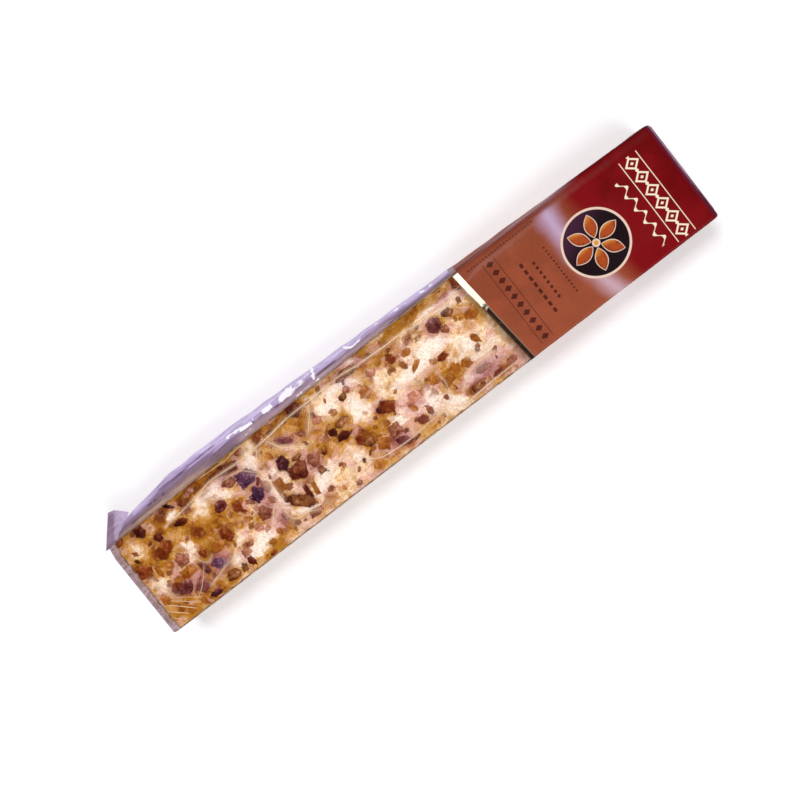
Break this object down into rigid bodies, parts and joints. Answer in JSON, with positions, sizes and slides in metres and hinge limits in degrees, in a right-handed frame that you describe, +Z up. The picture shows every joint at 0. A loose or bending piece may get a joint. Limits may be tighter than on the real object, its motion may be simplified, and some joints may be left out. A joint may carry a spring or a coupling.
{
  "type": "nougat bar",
  "caption": "Bar of soft nougat with caramelised chips, shut in a folded film wrap that is clear with a gold band and a printed end; lies flat on its underside.",
  "frame": {"origin": "middle of the flat underside", "axes": "+X along the bar to the printed end, +Y to the long side with the slack fin of film, +Z up"},
  "size_m": [0.1822, 0.0373, 0.0174],
  "materials": {
    "clear_film": "thin glossy clear film, faintly violet where it stands off the bar",
    "nougat": "soft, slightly waxy, cream with amber and brown swirls",
    "chips": "glassy caramelised chips, from amber to nearly black",
    "gold_foil": "mirror-like gold print, slightly creased",
    "printed_film": "satin film printed in terracotta and dark red"
  },
  "bodies": {
    "root": {"clear_wrap": "clear_film", "gold_band": "gold_foil", "printed_wrap": "printed_film"}
  },
  "joints": []
}
